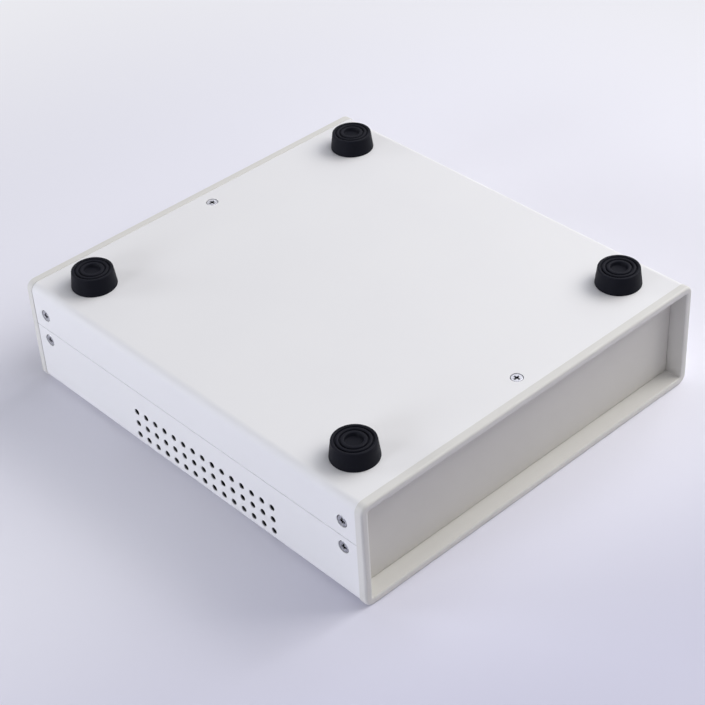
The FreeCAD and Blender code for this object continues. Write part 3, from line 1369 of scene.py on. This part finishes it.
@dataclass
class Studio:
    """Pale floor with painted shade toward the front, pale surround and soft lamps."""

    floor_radius: float = 3.0
    floor_sides: int = 96
    floor_light: str = "#ecebf4"
    # The floor's dark tone and its fall give painted shade toward the front left of the case
    floor_painted_shade: str = "#d3d2e4"
    painted_shade_way: tuple[float, float, float] = (0.45, 1.0, 0.0)
    painted_shade_full_at: float = -0.26
    painted_shade_gone_at: float = -0.05
    surround: str = "#ebebf0"
    surround_glow: float = 0.02
    fade_start: float = 0.2
    fade_end: float = 0.5
    lamps: tuple[SoftLamp, ...] = (
        SoftLamp("window_lamp", (1.061, -0.613, 1.028), 0.9, 11.4, "#fffdf7"),
        SoftLamp("right_lamp", (1.311, 0.0, 0.918), 0.9, 8.0, "#fafbff"),
        SoftLamp("left_lamp", (-1.552, 0.0, 0.387), 0.6, 9.7, "#f2f6ff"),
        SoftLamp("rear_lamp", (-1.098, 1.098, 0.387), 0.6, 8.0, "#f9fbff"),
        SoftLamp("front_lamp", (0.32, -0.86, 1.3), 1.5, 7.3, "#f8f9fc"),
        SoftLamp("overhead_lamp", (0.56, 0.25, 1.48), 1.5, 6.6, "#f4f6ff"),
    )

    def seen_ray(self, tree: bpy.types.NodeTree) -> bpy.types.NodeSocket:
        """Factor that is 1 for rays that see the surround: camera, gloss and glass.

        Args:
            tree: Tree that receives the nodes.

        Returns:
            The factor.
        """
        ray = add_node(tree, "ShaderNodeLightPath")
        first = add_node(
            tree,
            "ShaderNodeMath",
            {"operation": "MAXIMUM"},
            {0: ray.outputs["Is Camera Ray"], 1: ray.outputs["Is Glossy Ray"]},
        )
        both = add_node(
            tree,
            "ShaderNodeMath",
            {"operation": "MAXIMUM"},
            {0: first.outputs[0], 1: ray.outputs["Is Transmission Ray"]},
        )
        return both.outputs[0]

    def build_world(self) -> None:
        """Surround the case with a plain soft glow that looks pale where it is seen."""
        world = bpy.data.worlds.new("pale_surround")
        bpy.context.scene.world = world
        world.use_nodes = True
        tree = world.node_tree
        tree.nodes.clear()
        colour = linear(self.surround)
        glow = add_node(
            tree, "ShaderNodeBackground", inputs={"Color": colour, "Strength": self.surround_glow}
        )
        seen = add_node(tree, "ShaderNodeBackground", inputs={"Color": colour, "Strength": 1.0})
        mixed = add_node(
            tree,
            "ShaderNodeMixShader",
            inputs={0: self.seen_ray(tree), 1: glow.outputs[0], 2: seen.outputs[0]},
        )
        add_node(tree, "ShaderNodeOutputWorld", inputs={"Surface": mixed.outputs[0]})

    def floor_material(self) -> bpy.types.Material:
        """Matt paper sweep that fades into the surround away from the case, with painted shade that
        darkens and blues it toward the front, a little to the left.

        Returns:
            The floor's material.
        """
        made = bpy.data.materials.new("paper_sweep_with_painted_shade")
        made.use_nodes = True
        tree = made.node_tree
        tree.nodes.clear()
        place = add_node(tree, "ShaderNodeTexCoord").outputs["Object"]
        # Painted shade: the paper darkens and turns bluer toward the front left of the case
        along = add_node(
            tree, "ShaderNodeVectorMath", {"operation": "DOT_PRODUCT"}, {0: place, 1: self.painted_shade_way}
        )
        share = add_node(
            tree,
            "ShaderNodeMapRange",
            {"interpolation_type": "SMOOTHSTEP"},
            {
                "Value": along.outputs["Value"],
                "From Min": self.painted_shade_full_at,
                "From Max": self.painted_shade_gone_at,
            },
        )
        dark, light = linear(self.floor_painted_shade), linear(self.floor_light)
        tone = blend(tree, share.outputs["Result"], dark, light)
        paper = add_node(tree, "ShaderNodeBsdfDiffuse", inputs={"Color": tone})
        sheen = add_node(
            tree, "ShaderNodeEmission", inputs={"Color": linear(self.surround), "Strength": 1.0}
        )
        reach = add_node(tree, "ShaderNodeVectorMath", {"operation": "LENGTH"}, {0: place})
        fade = add_node(
            tree,
            "ShaderNodeMapRange",
            {"interpolation_type": "SMOOTHSTEP"},
            {"Value": reach.outputs["Value"], "From Min": self.fade_start, "From Max": self.fade_end},
        )
        seen = add_node(
            tree,
            "ShaderNodeMath",
            {"operation": "MULTIPLY"},
            {0: fade.outputs["Result"], 1: self.seen_ray(tree)},
        )
        mixed = add_node(
            tree,
            "ShaderNodeMixShader",
            inputs={0: seen.outputs[0], 1: paper.outputs[0], 2: sheen.outputs[0]},
        )
        add_node(tree, "ShaderNodeOutputMaterial", inputs={"Surface": mixed.outputs[0]})
        return made

    def build_floor(self) -> bpy.types.Object:
        """Lay the floor under the case.

        Returns:
            The floor's object.
        """
        bm = bmesh.new()
        bmesh.ops.create_circle(bm, cap_ends=True, radius=self.floor_radius, segments=self.floor_sides)
        mesh = bpy.data.meshes.new("paper_floor")
        bm.to_mesh(mesh)
        bm.free()
        mesh.materials.append(self.floor_material())
        floor = bpy.data.objects.new("paper_floor", mesh)
        bpy.context.scene.collection.objects.link(floor)
        return floor

    def build(self) -> None:
        """Set the stage up."""
        self.build_world()
        self.build_floor()
        for lamp in self.lamps:
            lamp.build()
            log.info("%s: %.1f W", lamp.name, lamp.power)
        bpy.context.scene.view_settings.view_transform = "Standard"


@dataclass(frozen=True)
class PhotoCamera:
    """Camera with the view of the photograph."""

    place: tuple[float, float, float] = (-0.435742, -0.494873, 0.52169)
    right: tuple[float, float, float] = (0.726684, -0.685232, -0.048858)
    up: tuple[float, float, float] = (0.446859, 0.417476, 0.791221)
    focal_px: float = 1822.805
    clip_start: float = 0.01
    clip_end: float = 50.0

    def build(self) -> bpy.types.Object:
        """Make the camera and look through it.

        Returns:
            The camera's object.
        """
        data = bpy.data.cameras.new("photo_camera")
        data.sensor_width = SENSOR_WIDTH
        data.lens = self.focal_px * SENSOR_WIDTH / PHOTO_SIDE
        data.clip_start = self.clip_start
        data.clip_end = self.clip_end
        camera = bpy.data.objects.new("photo_camera", data)
        right = Vector(self.right).normalized()
        back = right.cross(Vector(self.up)).normalized()
        up = back.cross(right)
        turn = Matrix((right, up, back)).transposed().to_4x4()
        camera.matrix_world = Matrix.Translation(self.place) @ turn
        bpy.context.scene.collection.objects.link(camera)
        bpy.context.scene.camera = camera
        return camera


def main() -> None:
    """Build every sub-assembly of the case, then the studio round it."""
    logging.basicConfig(level=logging.INFO, format="%(name)s: %(message)s")
    sizes = CaseSizes()
    coat, plastic = POWDER_COAT.material(), MOULDED_ABS.material()
    anodised, rubber, steel = ANODISED.material(), RUBBER.material(), PLATED_STEEL.material()

    BaseShell(
        sizes, "base_shell", "folded_base_shell", sizes.base_face_z, sizes.base_edge_z
    ).build(coat)
    TopCover(
        sizes, "top_cover", "folded_top_cover", sizes.cover_face_z, sizes.cover_edge_z
    ).build(coat)
    bezel = Bezel(sizes)
    panel = Panel(bezel)
    for end in End:
        bezel.build(end, plastic)
        panel.build(end, anodised)
    for site in sites("foot_", sizes):
        Foot(sizes).build(site, rubber)
    for site in sites("screw_", sizes):
        Screw().build(site, steel)

    Studio().build()
    PhotoCamera().build()


if __name__ == "__main__":
    main()
